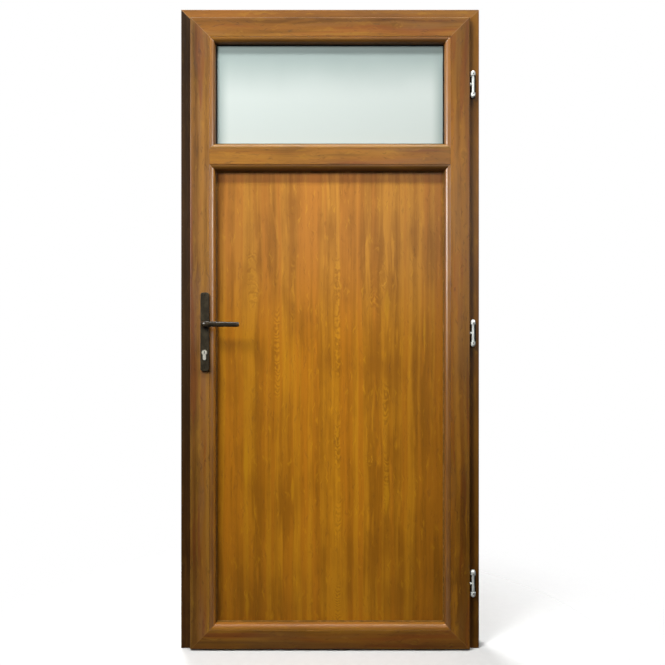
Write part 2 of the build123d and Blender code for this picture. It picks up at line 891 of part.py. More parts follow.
with BuildPart() as cylinder_cam:
    rod_y(lock_x, cylinder_z, cam_ring, (-cam_half, cam_half))
    brick(
        (lock_x - cam_wide / 2, lock_x + cam_wide / 2),
        (-cam_half, cam_half),
        (cylinder_z - cam_reach + cam_clear, cylinder_z),
    )
save(cylinder_cam, "cylinder_cam")

# Handle plates: hollow-backed rounded plates on both faces, held by two through screws.
plate_span = (spindle_height - handle_down, spindle_height + handle_up)
plate_mid = (plate_span[0] + plate_span[1]) / 2
neck_bore = neck_radius + neck_gap
for side, label in ((-1, "front"), (1, "back")):
    outer = side * (leaf_depth / 2 + handle_thick)
    inner = side * leaf_depth / 2
    plate_y = sorted((inner, outer))
    with BuildPart() as handle_plate:
        with BuildSketch(front_plane(plate_y[1])):
            with Locations((lock_x, plate_mid)):
                RectangleRounded(handle_wide, plate_span[1] - plate_span[0], handle_corner)
        extrude(amount=handle_thick)
        rim = handle_plate.faces().sort_by(Axis.Y)[0 if side < 0 else -1].edges()
        fillet(rim, radius=handle_edge)
        rod_y(lock_x, spindle_height, neck_bore, plate_y, Mode.SUBTRACT)
        extrude(euro_hole, amount=leaf_depth, both=True, mode=Mode.SUBTRACT)
        for z in screw_heights:
            rod_y(lock_x, z, handle_screw_radius + hole_clear, plate_y, Mode.SUBTRACT)
            head_y = sorted((outer, outer - side * handle_head_deep))
            rod_y(lock_x, z, handle_head_radius + hole_clear, head_y, Mode.SUBTRACT)
    save(handle_plate, f"handle_plate_{label}")

# Through screws with a head at the front and a sleeve nut with the same head at the back.
screw_tip = leaf_depth / 2 + handle_thick - handle_head_deep
with BuildPart() as handle_screws:
    for z in screw_heights:
        rod_y(lock_x, z, handle_screw_radius, (-screw_tip, screw_tip))
        for side in (-1, 1):
            face_y = side * (screw_tip + handle_head_deep - slide_clear)
            rod_y(lock_x, z, handle_head_radius, sorted((side * screw_tip, face_y)))
            slot_y = sorted((face_y, face_y - side * tread_deep))
            brick(
                (lock_x - handle_head_radius, lock_x + handle_head_radius),
                slot_y,
                (z - tread_deep / 2, z + tread_deep / 2),
                Mode.SUBTRACT,
            )
save(handle_screws, "handle_screws")

# Levers: a round neck that bends into a flat tapered grip, on a square spindle.
spindle_half = leaf_depth / 2 + handle_thick + spindle_sunk
with BuildPart() as lever_spindle:
    brick(
        (lock_x - square_half, lock_x + square_half),
        (-spindle_half, spindle_half),
        (spindle_height - square_half, spindle_height + square_half),
    )
save(lever_spindle, "lever_spindle")

# The round neck flattens to an oval, turns a quarter round and tapers to the tip,
# with its lower edge kept level.
neck_top = lever_y + lever_bend
neck_plane = Plane((lock_x, 0, spindle_height), x_dir=along_x, z_dir=-along_y)
grip_plane = Plane((lock_x, lever_y, spindle_height), x_dir=along_y, z_dir=along_x)
with BuildPart() as lever_front:
    with BuildSketch(neck_plane.offset(-handle_front - neck_sunk)):
        Circle(neck_radius)
    extrude(amount=neck_sunk + collar_high)
    with BuildSketch(neck_plane.offset(collar_high - handle_front)):
        Circle(neck_radius)
    with BuildSketch(neck_plane.offset(-neck_top)):
        Ellipse(*lever_root)
    loft()
    with BuildSketch(neck_plane.offset(-neck_top)):
        Ellipse(*lever_root)
    bend_axis = Axis((lock_x + lever_bend, neck_top, spindle_height), along_z)
    revolve(axis=bend_axis, revolution_arc=90)
    with BuildSketch(grip_plane.offset(lever_bend)):
        Ellipse(*lever_root)
    with BuildSketch(grip_plane.offset(lever_long)):
        with Locations((0, lever_tip[1] - lever_root[1])):
            Ellipse(*lever_tip)
    loft()
    fillet(lever_front.faces().sort_by(Axis.X)[-1].edges(), radius=lever_tip_round)
    rod_y(
        lock_x,
        spindle_height,
        collar_radius,
        (handle_front - collar_high, handle_front - seal_clear),
    )
    brick(
        (lock_x - square_hole, lock_x + square_hole),
        (-spindle_half - slide_clear, 0),
        (spindle_height - square_hole, spindle_height + square_hole),
        Mode.SUBTRACT,
    )
save(lever_front, "lever_front")

with BuildPart() as lever_back:
    mirror(lever_front.part, about=Plane.XZ)
save(lever_back, "lever_back")

# Keeps on the lock jamb, with pockets for the latch and the bolts.
keep_x = (-rebate_x, -rebate_x + keep_thick)
keep_y = (-keep_front, keep_back)
keep_head_x = (keep_x[1] - screw_head_high, keep_x[1])
with BuildPart() as keep_lock:
    brick(keep_x, keep_y, lock_keep)
    brick(
        keep_x,
        (-latch_half - keep_clear, latch_half + keep_clear),
        (latch_span[0] - keep_clear, latch_span[1] + keep_clear),
        Mode.SUBTRACT,
    )
    brick(keep_x, (-dead_half - keep_clear, dead_half + keep_clear), dead_span, Mode.SUBTRACT)
    for z in (lock_keep[0] + keep_screw_inset, lock_keep[1] - keep_screw_inset):
        rod_x(0, z, screw_radius + slide_clear, keep_x, Mode.SUBTRACT)
        rod_x(0, z, screw_head + slide_clear, keep_head_x, Mode.SUBTRACT)
save(keep_lock, "keep_lock")

with BuildPart() as keep_bolts:
    for z in bolt_heights:
        brick(keep_x, keep_y, (z - keep_pin_half, z + keep_pin_half))
        rod_x(0, z, bolt_radius + keep_clear, keep_x, Mode.SUBTRACT)
        for spot in (z - keep_pin_half + keep_screw_inset, z + keep_pin_half - keep_screw_inset):
            rod_x(0, spot, screw_radius + slide_clear, keep_x, Mode.SUBTRACT)
            rod_x(0, spot, screw_head + slide_clear, keep_head_x, Mode.SUBTRACT)
save(keep_bolts, "keep_bolts")

# Hinges on the frame: dark base plates, domed knuckles in pairs and the pins between them.
plate_half_high = rod_half + knuckle_high
with BuildPart() as hinge_plates:
    for z in hinge_heights.values():
        with BuildSketch(front_plane(frame_front)):
            with Locations((hinge_x, z)):
                RectangleRounded(hinge_plate_wide, 2 * plate_half_high, hinge_plate_round)
        extrude(amount=hinge_plate_thick)
        for side in (-hinge_screw_half, hinge_screw_half):
            rod_y(hinge_x, z + side, screw_radius + slide_clear, (hinge_plate_y, frame_front), Mode.SUBTRACT)
save(hinge_plates, "hinge_plates")

knuckle_plane = Plane(origin=(hinge_x, hinge_y, 0), x_dir=along_x, z_dir=-along_y)
knuckle_ends = [(z + side * rod_half, side) for z in hinge_heights.values() for side in (-1, 1)]
with BuildPart() as hinge_knuckles:
    for near, side in knuckle_ends:
        far = near + side * knuckle_high
        peak = far + side * dome_high
        with BuildSketch(knuckle_plane):
            with BuildLine():
                Polyline((dome_top, peak), (0, peak), (0, near), (knuckle_radius, near), (knuckle_radius, far))
                RadiusArc((knuckle_radius, far), (dome_top, peak), side * -dome_high)
            make_face()
        revolve(axis=Axis((hinge_x, hinge_y, 0), along_z))
        brick(
            (hinge_x - foot_wide / 2, hinge_x + foot_wide / 2),
            (hinge_y, hinge_plate_y),
            sorted((near, far)),
        )
        rod_z(hinge_x, hinge_y, pin_radius + run_clear, sorted((near, far)), Mode.SUBTRACT)
        with BuildSketch(level_plane(peak)):
            with Locations((hinge_x, hinge_y)):
                RegularPolygon(socket_side, 6)
        extrude(amount=-side * socket_deep, mode=Mode.SUBTRACT)
        grub_y = (hinge_y - knuckle_radius, hinge_y - knuckle_radius + grub_deep)
        rod_y(hinge_x, (near + far) / 2, grub_radius, grub_y, Mode.SUBTRACT)
save(hinge_knuckles, "hinge_knuckles")

with BuildPart() as hinge_pins:
    for z in hinge_heights.values():
        rod_z(hinge_x, hinge_y, pin_radius, (z - rod_half - knuckle_high, z + rod_half + knuckle_high))
save(hinge_pins, "hinge_pins")

# Hinges on the leaf: sleeve on the pin with a stud that screws into the leaf's edge.
for name, z in hinge_heights.items():
    sleeve = (z - rod_half + end_clear, z + rod_half - end_clear)
    with BuildPart() as hinge_sleeve:
        rod_z(hinge_x, hinge_y, rod_radius, sleeve)
        rod_x(hinge_y, z, stud_radius, (stud_end, hinge_x - pin_radius - stud_bite))
        rod_x(hinge_y, z, stud_collar, (leaf_right, leaf_right + stud_collar_thick))
        rod_z(hinge_x, hinge_y, pin_radius + run_clear, sleeve, Mode.SUBTRACT)
    save(hinge_sleeve, f"hinge_sleeve_{name}")

# Small screws of the hinge plates and the keeps, all alike.
with BuildPart() as frame_screws:
    for z in hinge_heights.values():
        for side in (-hinge_screw_half, hinge_screw_half):
            head = (hinge_plate_y - screw_head_high, hinge_plate_y)
            rod_y(hinge_x, z + side, screw_head, head)
            rod_y(hinge_x, z + side, screw_radius, (hinge_plate_y, hinge_plate_y + screw_long))
    for z in keep_screw_spots:
        head = (keep_x[1] - screw_head_high, keep_x[1])
        rod_x(0, z, screw_head, head)
        rod_x(0, z, screw_radius, (head[0] - screw_long, head[0]))
save(frame_screws, "frame_screws")
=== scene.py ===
import math

import bpy
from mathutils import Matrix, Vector


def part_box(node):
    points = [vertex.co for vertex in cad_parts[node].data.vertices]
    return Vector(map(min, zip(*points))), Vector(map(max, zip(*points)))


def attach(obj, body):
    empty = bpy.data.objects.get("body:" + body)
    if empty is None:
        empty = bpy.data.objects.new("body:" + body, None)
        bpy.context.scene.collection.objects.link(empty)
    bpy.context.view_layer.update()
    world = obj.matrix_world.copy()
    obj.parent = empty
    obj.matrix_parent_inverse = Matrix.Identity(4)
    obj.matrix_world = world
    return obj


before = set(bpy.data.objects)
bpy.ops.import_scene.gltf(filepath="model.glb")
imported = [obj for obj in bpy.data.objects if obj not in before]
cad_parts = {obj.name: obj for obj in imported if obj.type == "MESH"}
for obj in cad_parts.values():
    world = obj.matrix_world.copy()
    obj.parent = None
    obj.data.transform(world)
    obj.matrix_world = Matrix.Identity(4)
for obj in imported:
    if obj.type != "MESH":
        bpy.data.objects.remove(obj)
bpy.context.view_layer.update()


# Frame profiles: the head and two jambs of the fixed frame, extruded in brown plastic, cut to
# mitres and welded at the two upper corners. An oak-grain foil is glued over all that shows.
# The side towards the wall and the sawn feet stay bare plastic.
def put(tree, kind, sockets=None, **settings):
    """Adds a node, sets it up, and sets or links its inputs."""
    made = tree.nodes.new(kind)
    for key, value in settings.items():
        setattr(made, key, value)
    for key, value in (sockets or {}).items():
        if isinstance(value, bpy.types.NodeSocket):
            tree.links.new(value, made.inputs[key])
        else:
            made.inputs[key].default_value = value
    return made


def maths(tree, what, *values, clamp=False):
    """Works out one sum on numbers or sockets."""
    made = put(tree, "ShaderNodeMath", dict(enumerate(values)), operation=what, use_clamp=clamp)
    return made.outputs[0]


def between(tree, value, low, high, start=0.0, end=1.0):
    """Runs smoothly from start to end while value goes from low to high."""
    return put(
        tree,
        "ShaderNodeMapRange",
        {"Value": value, "From Min": low, "From Max": high, "To Min": start, "To Max": end},
        interpolation_type="SMOOTHSTEP",
    ).outputs["Result"]


def swayed(tree, value, noise, far):
    """Moves a value to and fro with a noise, by half of far each way."""
    return maths(tree, "MULTIPLY_ADD", maths(tree, "SUBTRACT", noise, 0.5), far, value)


def off_from(tree, value, middle):
    """How far a value is from a middle, to either side."""
    return maths(tree, "ABSOLUTE", maths(tree, "SUBTRACT", value, middle))


def laid(tree, share, under, over, how="MIX"):
    """Lays one colour over another by a share."""
    return put(
        tree,
        "ShaderNodeMix",
        {0: share, 6: under, 7: over},
        data_type="RGBA",
        blend_type=how,
    ).outputs[2]


def tinted(tree, tone, tint):
    """A colour multiplied by a tint."""
    return laid(tree, 1.0, tone, tint, "MULTIPLY")


def painted(tree, under, mask, share, tone):
    """Paints a tone over a colour where the mask is, by the share at most."""
    return laid(tree, maths(tree, "MULTIPLY", mask, share, clamp=True), under, tone)


def grains(tree, place, scale, detail, rough=0.5):
    """Noise with about scale lumps in a metre."""
    return put(
        tree,
        "ShaderNodeTexNoise",
        {"Vector": place, "Scale": scale, "Detail": detail, "Roughness": rough},
    ).outputs["Fac"]


def parted(tree, place):
    """The x, y and z of a place."""
    return put(tree, "ShaderNodeSeparateXYZ", {0: place}).outputs


def joined(tree, x, y, z):
    """A place from its x, y and z."""
    return put(tree, "ShaderNodeCombineXYZ", {0: x, 1: y, 2: z}).outputs[0]


def start_finish(name, rough, metal=0.0):
    """A new material, its node tree, its shader and its Object coordinates."""
    finish = bpy.data.materials.new(name)
    finish.use_nodes = True
    tree = finish.node_tree
    shader = tree.nodes["Principled BSDF"]
    shader.inputs["Roughness"].default_value = rough
    shader.inputs["Metallic"].default_value = metal
    place = put(tree, "ShaderNodeTexCoord").outputs["Object"]
    return finish, tree, shader, place


def raise_by(tree, shader, height, depth, strength):
    """Gives a surface the relief of a height."""
    bump = put(tree, "ShaderNodeBump", {"Height": height, "Distance": depth, "Strength": strength})
    tree.links.new(bump.outputs["Normal"], shader.inputs["Normal"])


def colour(red, green, blue):
    return (red, green, blue, 1.0)


bare_plastic = colour(0.105, 0.048, 0.02)
# The weld seams' pale tone is partly a painted highlight on their grooves.
seam_and_highlight_tone = colour(0.36, 0.19, 0.06)
pore_tone = colour(0.045, 0.016, 0.003)
amber_tint = colour(1.04, 0.935, 0.97)
curl_tint = colour(1.22, 1.36, 1.0)
rim_tint = colour(1.30, 1.48, 1.6)
grey_tint = colour(0.70, 0.80, 3.0)
stroke_tint = colour(0.62, 0.58, 0.6)
flame_tint = colour(1.10, 1.22, 0.9)
red_tint = colour(0.90, 0.70, 0.80)
# Layers of the grain: stretch along the profile, offset along it, lumps in a metre across it,
# detail and roughness of the noise.
grain_layers = {
    "bands": (0.016, 0.0, 34, 1, 0.5),
    "streaks": (0.03, 0.0, 90, 3, 0.6),
    "fibres": (0.02, 0.0, 620, 2, 0.6),
    "patches": (0.55, 11.0, 9, 3, 0.5),
    "hue": (0.016, 7.3, 48, 1, 0.5),
    "lenses": (0.11, 3.1, 62, 1, 0.5),
    "ripple": (1.0, 2.0, 45, 2, 0.5),
    "curls": (0.17, 1.7, 105, 2, 0.5),
    "flecks": (0.12, 5.0, 270, 1, 0.5),
    "arch_bends": (1.0, 0.0, 38, 3, 0.5),
    "arch_gaps": (0.5, 9.0, 16, 2, 0.5),
    "grey_bands": (0.08, 17.0, 30, 2, 0.5),
    "red_bands": (0.06, 23.0, 44, 2, 0.5),
}
# How much each layer counts in the wood's tone, and what is added to their sum.
band_weight = 0.26
fibre_weight = 0.16
patch_weight = 0.7
lens_weight = 0.24
tone_start = 0.52
# How strongly each figure is painted on the wood.
amber_share = 0.32
curl_share = 0.34
fleck_share = 0.17
pale_stroke_share = 0.40
dark_stroke_share = 0.38
flame_share = 0.5
grey_share = 0.34
rim_share = 0.50
heart_share = 0.30
seam_share = 0.4
# How far streaks and pores blur the gloss, and how high the fibres and how deep the seams are,
# as shares of a pore's depth.
streak_blur = 0.16
fleck_blur = 0.12
fibre_height = 0.6
seam_depth = 2.0
# Sizes of the foil's figure in metres.
wander_far = 0.016
curl_far = 0.022
arch_end = 0.05
arch_root = 0.6
edge_shade_out = 0.010
edge_shade_in = 0.046
seam_half = 0.0013
seam_core = 0.0003
foot_bare = 0.0006
foil_relief = 0.0002


def knot_figure(tree, place, across, along, bent, knots):
    """Bends the grain round knots, each given by its place across and along the grain and its
    size. Returns the bent grain, the knots' pale broken strokes and their dark hearts."""
    slim, push, ring_count = 2.2, 1.2, 9.0
    ragged_span, ragged_start, ragged_least = 3.2, -1.1, 0.05
    rims, hearts = 0.0, 0.0
    ragged = grains(tree, place, scale=75, detail=3, rough=0.6)
    ragged = maths(tree, "MULTIPLY_ADD", ragged, ragged_span, ragged_start)
    ragged = maths(tree, "MAXIMUM", ragged, ragged_least)
    broken = between(tree, grains(tree, place, scale=48, detail=2), 0.44, 0.60)
    for knot_across, knot_along, size in knots:
        side = maths(tree, "DIVIDE", maths(tree, "SUBTRACT", across, knot_across), size)
        length = maths(tree, "DIVIDE", maths(tree, "SUBTRACT", along, knot_along), slim * size)
        length_part = maths(tree, "MULTIPLY", length, length)
        reach = maths(tree, "ADD", maths(tree, "MULTIPLY", side, side), length_part)
        swell = maths(tree, "DIVIDE", 1.0, maths(tree, "ADD", 1.0, reach))
        bent = maths(tree, "MULTIPLY_ADD", maths(tree, "MULTIPLY", side, swell), -push * size, bent)
        swirl = maths(tree, "MULTIPLY", reach, ragged)
        hearts = maths(tree, "ADD", between(tree, swirl, 0.30, 0.05), hearts)
        rings = maths(tree, "MULTIPLY", maths(tree, "SQRT", swirl), ring_count)
        crests = between(tree, maths(tree, "SINE", rings), 0.2, 0.9)
        rim = maths(tree, "MULTIPLY", crests, between(tree, reach, 2.4, 0.8))
        rims = maths(tree, "MULTIPLY_ADD", rim, broken, rims)
    return bent, rims, hearts


def arch_figure(tree, grain, along, bent, streaks, arches):
    """Columns of arches, each given by its place across the grain, its half width, its lower and
    upper end, how crowded its arches are and how steep. Returns their pale and dark strokes."""
    streak_bend, noise_bend, sharpness, full_share = 8.0, 21.0, 4.0, 0.4
    pales, darks = 0.0, 0.0
    for row, half, low, high, crowding, steepness in arches:
        off = off_from(tree, bent, row)
        phase = maths(tree, "DIVIDE", crowding, maths(tree, "ADD", along, arch_root))
        phase = maths(tree, "MULTIPLY_ADD", off, steepness, phase)
        phase = maths(tree, "MULTIPLY_ADD", streaks, streak_bend, phase)
        phase = maths(tree, "MULTIPLY_ADD", grain("arch_bends", shift=row), noise_bend, phase)
        crest = maths(tree, "MULTIPLY_ADD", maths(tree, "SINE", phase), 0.5, 0.5)
        trough = maths(tree, "SUBTRACT", 1.0, crest)
        kept = between(tree, off, half, full_share * half)
        for bound in (
            between(tree, along, low, low + arch_end),
            between(tree, along, high, high - arch_end),
            between(tree, grain("arch_gaps", shift=row), 0.40, 0.58),
        ):
            kept = maths(tree, "MULTIPLY", kept, bound)
        dark = maths(tree, "MULTIPLY", maths(tree, "POWER", crest, sharpness), kept)
        pale = maths(tree, "MULTIPLY", maths(tree, "POWER", trough, sharpness), kept)
        darks = maths(tree, "MAXIMUM", darks, dark)
        pales = maths(tree, "MAXIMUM", pales, pale)
    return pales, darks


def flame_figure(tree, along, bent, streaks, flame):
    """A pale flame, given by its place across and along the grain and its half width and height.
    The streaks fray its edge."""
    taper, fray = 1.5, 2.4
    row, middle, half_wide, half_tall = flame
    side = maths(tree, "DIVIDE", off_from(tree, bent, row), half_wide)
    length = maths(tree, "DIVIDE", off_from(tree, along, middle), half_tall)
    reach = maths(tree, "ADD", side, maths(tree, "POWER", length, taper))
    return between(tree, swayed(tree, reach, streaks, fray), 1.0, 0.3)


def oak_foil(
    name,
    gold,
    brown,
    seams,
    upright=True,
    knots=(),
    arches=(),
    flames=(),
    fades=(),
    bare=None,
    outer=1.0,
    fine=1.0,
    streaky=0.5,
    mottled=0.0,
    gloss=0.42,
    shine=0.3,
):
    """Oak-grain foil with its grain along an upright or level profile, between a gold and a brown.

    seams is the half width, the lower and the upper end of the field whose corners are welded;
    the weld lines are pale, partly as a painted highlight on their grooves. knots, arches and
    flames are figures at places of their own. fades paint light and shade on the foil by height,
    depth or side: each says which way, where it starts, where it is full, and the tint. bare is
    the half width and the height beyond which there is no foil. outer is how dark the foil is
    along the profile's outer edge. fine and streaky are how strong its fine grain and its streaks
    are, and mottled how far single bands turn greyer or redder."""
    finish, tree, shader, place = start_finish(name, gloss)
    shader.inputs["Specular IOR Level"].default_value = shine
    x, y, z = parted(tree, place)
    across, along = (x, z) if upright else (z, x)
    wander = grains(tree, joined(tree, across, y, along), scale=3.1, detail=2)
    bent = swayed(tree, across, wander, wander_far)
    if knots:
        bent, knot_rims, knot_hearts = knot_figure(tree, place, across, along, bent, knots)

    def grain(layer, sway=bent, shift=0.0):
        """One layer of the grain, shifted along the profile."""
        stretch, offset, scale, detail, rough = grain_layers[layer]
        slow = maths(tree, "MULTIPLY_ADD", along, stretch, offset + shift)
        return grains(tree, joined(tree, sway, y, slow), scale, detail, rough)

    curled = swayed(tree, bent, grain("ripple"), curl_far)
    streaks = grain("streaks")
    fibres = grain("fibres")
    flecks = between(tree, grain("flecks", curled), 0.60, 0.74)
    curls = between(tree, grain("curls", curled), 0.59, 0.72)
    hue = between(tree, grain("hue"), 0.40, 0.60)
    tone = tone_start - 0.5 * streaky
    for layer, weight in (
        (between(tree, grain("bands"), 0.30, 0.70), band_weight),
        (streaks, streaky),
        (fibres, fibre_weight * fine),
        (grain("patches"), patch_weight),
        (between(tree, grain("lenses"), 0.60, 0.76), lens_weight),
    ):
        tone = maths(tree, "MULTIPLY_ADD", layer, weight, tone)

    amber = tinted(tree, laid(tree, amber_share, gold, brown), amber_tint)
    pale_gold = tinted(tree, gold, curl_tint)
    wood = laid(tree, between(tree, tone, 0.78, 1.32), brown, laid(tree, hue, amber, gold))
    wood = painted(tree, wood, curls, curl_share, pale_gold)
    wood = painted(tree, wood, flecks, fleck_share * fine, pore_tone)
    if arches:
        pales, darks = arch_figure(tree, grain, along, bent, streaks, arches)
        wood = painted(tree, wood, pales, pale_stroke_share, pale_gold)
        wood = painted(tree, wood, darks, dark_stroke_share, tinted(tree, brown, stroke_tint))
    for flame in flames:
        lit = flame_figure(tree, along, bent, streaks, flame)
        wood = painted(tree, wood, lit, flame_share, tinted(tree, gold, flame_tint))
    if mottled:
        greyer = between(tree, grain("grey_bands"), 0.50, 0.66)
        redder = between(tree, grain("red_bands"), 0.52, 0.66)
        wood = painted(tree, wood, greyer, grey_share * mottled, tinted(tree, gold, grey_tint))
        wood = painted(tree, wood, redder, mottled, tinted(tree, wood, red_tint))
    if knots:
        wood = painted(tree, wood, knot_rims, rim_share, tinted(tree, gold, rim_tint))
        wood = painted(tree, wood, knot_hearts, heart_share, brown)

    half_wide, low, high = seams
    beside = maths(tree, "ABSOLUTE", x)
    side_gap = maths(tree, "SUBTRACT", half_wide, beside)
    end_gap = maths(tree, "SUBTRACT", high, z)
    if low is not None:
        end_gap = maths(tree, "MINIMUM", end_gap, maths(tree, "SUBTRACT", z, low))
    edge_gap = side_gap if upright else end_gap
    wood = tinted(tree, wood, between(tree, edge_gap, edge_shade_out, edge_shade_in, outer, 1.0))
    ways = {"height": z, "depth": y, "side": beside, "left": maths(tree, "MULTIPLY", x, -1.0)}
    # Each fade paints light or shade: a tint that grows by height, depth or side.
    for way, plain_at, full_at, tint in fades:
        faded = tinted(tree, wood, colour(*tint))
        wood = laid(tree, between(tree, ways[way], plain_at, full_at), wood, faded)
    # Pale weld lines on the mitres, partly a painted highlight on their grooves.
    seam = between(tree, off_from(tree, side_gap, end_gap), seam_half, seam_core)
    wood = painted(tree, wood, seam, seam_share, seam_and_highlight_tone)
    if bare:
        bare_wide, bare_high = bare
        outside = maths(tree, "GREATER_THAN", beside, bare_wide)
        outside = maths(tree, "MAXIMUM", outside, maths(tree, "GREATER_THAN", z, bare_high))
        outside = maths(tree, "MAXIMUM", outside, maths(tree, "LESS_THAN", z, foot_bare))
        wood = laid(tree, outside, wood, bare_plastic)
    tree.links.new(wood, shader.inputs["Base Color"])
    sheen = maths(tree, "MULTIPLY_ADD", streaks, streak_blur, gloss - streak_blur / 2)
    sheen = maths(tree, "MULTIPLY_ADD", flecks, fleck_blur, sheen)
    tree.links.new(sheen, shader.inputs["Roughness"])
    relief = maths(tree, "SUBTRACT", maths(tree, "MULTIPLY", fibres, fibre_height), flecks)
    relief = maths(tree, "MULTIPLY_ADD", seam, -seam_depth, relief)
    raise_by(tree, shader, relief, depth=foil_relief, strength=0.5)
    return finish


def dress(finish, *nodes):
    """Gives CAD nodes a finish."""
    for name in nodes:
        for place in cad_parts[name].material_slots:
            place.material = finish


frame_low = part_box("frame_jamb_lock")[0]
frame_half = -frame_low.x
face_y = frame_low.y
head_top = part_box("frame_head")[1].z
frame_seams = (frame_half, None, head_top)
bare_skin = 0.0008
bare_sides = (frame_half - bare_skin, head_top - bare_skin)
frame_gold = colour(0.275, 0.116, 0.010)
frame_brown = colour(0.142, 0.055, 0.005)
# The head's tones are darker copies of the jambs', as painted shade.
head_shaded_gold = colour(0.237, 0.098, 0.008)
head_shaded_brown = colour(0.122, 0.046, 0.004)
# Painted shade: the jambs' faces are painted darker than the rebates behind them, the lock jamb
# also darker towards its top and lighter towards its foot, and the hinge jamb darker at its foot.
jamb_rebate_y = face_y + 0.016
jamb_face_y = face_y + 0.003
lock_jamb_foil = oak_foil(
    "lock_jamb_oak_foil",
    frame_gold,
    frame_brown,
    frame_seams,
    bare=bare_sides,
    shine=0.15,
    fades=(
        ("depth", jamb_rebate_y, jamb_face_y, (0.225, 0.25, 0.70)),
        ("height", 1.1, 2.0, (0.50, 0.50, 0.50)),
        ("height", 0.9, 0.2, (1.40, 1.18, 0.70)),
    ),
)
hinge_jamb_foil = oak_foil(
    "hinge_jamb_oak_foil",
    frame_gold,
    frame_brown,
    frame_seams,
    bare=bare_sides,
    shine=0.15,
    fades=(
        ("depth", jamb_rebate_y, jamb_face_y, (0.80, 0.77, 0.80)),
        ("height", 0.9, 0.1, (0.70, 0.66, 0.5)),
    ),
)
head_foil = oak_foil(
    "head_oak_foil", head_shaded_gold, head_shaded_brown, frame_seams, upright=False, bare=bare_sides
)
dress(lock_jamb_foil, "frame_jamb_lock")
dress(hinge_jamb_foil, "frame_jamb_hinge")
dress(head_foil, "frame_head")


# Steel bars: rolled galvanised channels pushed into the main chamber of each frame and leaf
# profile and screwed there. They only show at the open feet of the jambs.
def zinc_finish(name, tone, spangles, rough):
    """Zinc with about spangles crystals in a metre, each a little lighter or darker."""
    finish, tree, shader, place = start_finish(name, rough, metal=1.0)
    spangle = put(tree, "ShaderNodeTexVoronoi", {"Vector": place, "Scale": spangles})
    patch = put(tree, "ShaderNodeSeparateColor", {0: spangle.outputs["Color"]}).outputs[0]
    cloud = grains(tree, place, scale=45, detail=4, rough=0.6)
    light = maths(tree, "MULTIPLY_ADD", patch, 0.35, maths(tree, "MULTIPLY", cloud, 0.55))
    pale = colour(*(1.25 * part for part in tone))
    deep = colour(*(0.7 * part for part in tone))
    wear = maths(tree, "MULTIPLY_ADD", cloud, 0.3, rough - 0.15)
    tree.links.new(laid(tree, light, deep, pale), shader.inputs["Base Color"])
    tree.links.new(wear, shader.inputs["Roughness"])
    raise_by(tree, shader, cloud, depth=0.0002, strength=0.25)
    return finish


galvanised = zinc_finish("galvanised_sheet", (0.52, 0.54, 0.55), spangles=130, rough=0.46)
dress(
    galvanised,
    "frame_steel_head",
    "frame_steel_lock",
    "frame_steel_hinge",
    "leaf_steel_lock",
    "leaf_steel_hinge",
    "leaf_steel_rails",
)


# Seals and gaskets: rubber strip, pushed into grooves of the frame and leaf and under the glazing
# beads. It is black round the glass and in the rebates, brown round the panel, and dusty in
# patches.
def rubber_finish(name, pale, deep):
    finish, tree, shader, place = start_finish(name, rough=0.5)
    shader.inputs["Specular IOR Level"].default_value = 0.06
    dust = grains(tree, place, scale=60, detail=5, rough=0.65)
    skin = grains(tree, place, scale=900, detail=2)
    tone = laid(tree, between(tree, dust, 0.4, 0.75), deep, pale)
    tree.links.new(tone, shader.inputs["Base Color"])
    tree.links.new(maths(tree, "MULTIPLY_ADD", dust, 0.3, 0.34), shader.inputs["Roughness"])
    raise_by(tree, shader, skin, depth=0.0001, strength=0.3)
    return finish


black_rubber = rubber_finish(
    "black_rubber", pale=colour(0.020, 0.018, 0.016), deep=colour(0.008, 0.007, 0.006)
)
brown_rubber = rubber_finish(
    "brown_rubber", pale=colour(0.28, 0.135, 0.030), deep=colour(0.155, 0.075, 0.014)
)
dress(black_rubber, "frame_seal", "leaf_seal", "glass_gaskets")
dress(brown_rubber, "panel_gaskets")


# Threshold: an extruded aluminium sill between the jambs, silver anodised and brushed along its
# length by the mill, with black plastic blocks that close its ends. Blocks of the same plastic
# carry the glass and the panel.
def brushed_finish(name, tone, rough, stretch, lines, metal=1.0):
    """Metal with fine lines: stretch is how far each axis is drawn out along them."""
    finish, tree, shader, place = start_finish(name, rough, metal)
    drawn = put(tree, "ShaderNodeMapping", {"Vector": place, "Scale": stretch}).outputs[0]
    hair = grains(tree, drawn, scale=lines, detail=4, rough=0.7)
    smudge = grains(tree, place, scale=28, detail=4, rough=0.6)
    pale = colour(*(min(1.0, 1.1 * part) for part in tone))
    deep = colour(*(0.82 * part for part in tone))
    shade = maths(tree, "MULTIPLY_ADD", hair, 0.6, maths(tree, "MULTIPLY", smudge, 0.4))
    metal_tone = laid(tree, between(tree, shade, 0.3, 0.7), deep, pale)
    wear = maths(tree, "MULTIPLY_ADD", smudge, 0.22, rough - 0.14)
    wear = maths(tree, "MULTIPLY_ADD", hair, 0.08, wear)
    tree.links.new(metal_tone, shader.inputs["Base Color"])
    tree.links.new(wear, shader.inputs["Roughness"])
    raise_by(tree, shader, hair, depth=0.00006, strength=0.35)
    return finish


def clouded_finish(name, pale, deep, rough, shine, clouds, blur, skin_scale, skin_deep):
    """Plastic or lacquer with a fine skin, cloudy in tone and in gloss. blur is how far the gloss
    changes."""
    finish, tree, shader, place = start_finish(name, rough)
    shader.inputs["Specular IOR Level"].default_value = shine
    cloud = grains(tree, place, scale=clouds, detail=4, rough=0.6)
    skin = grains(tree, place, scale=skin_scale, detail=2)
    tone = laid(tree, between(tree, cloud, 0.35, 0.7), deep, pale)
    wear = maths(tree, "MULTIPLY_ADD", cloud, blur, rough - blur / 2)
    tree.links.new(tone, shader.inputs["Base Color"])
    tree.links.new(wear, shader.inputs["Roughness"])
    raise_by(tree, shader, skin, depth=skin_deep, strength=0.3)
    return finish


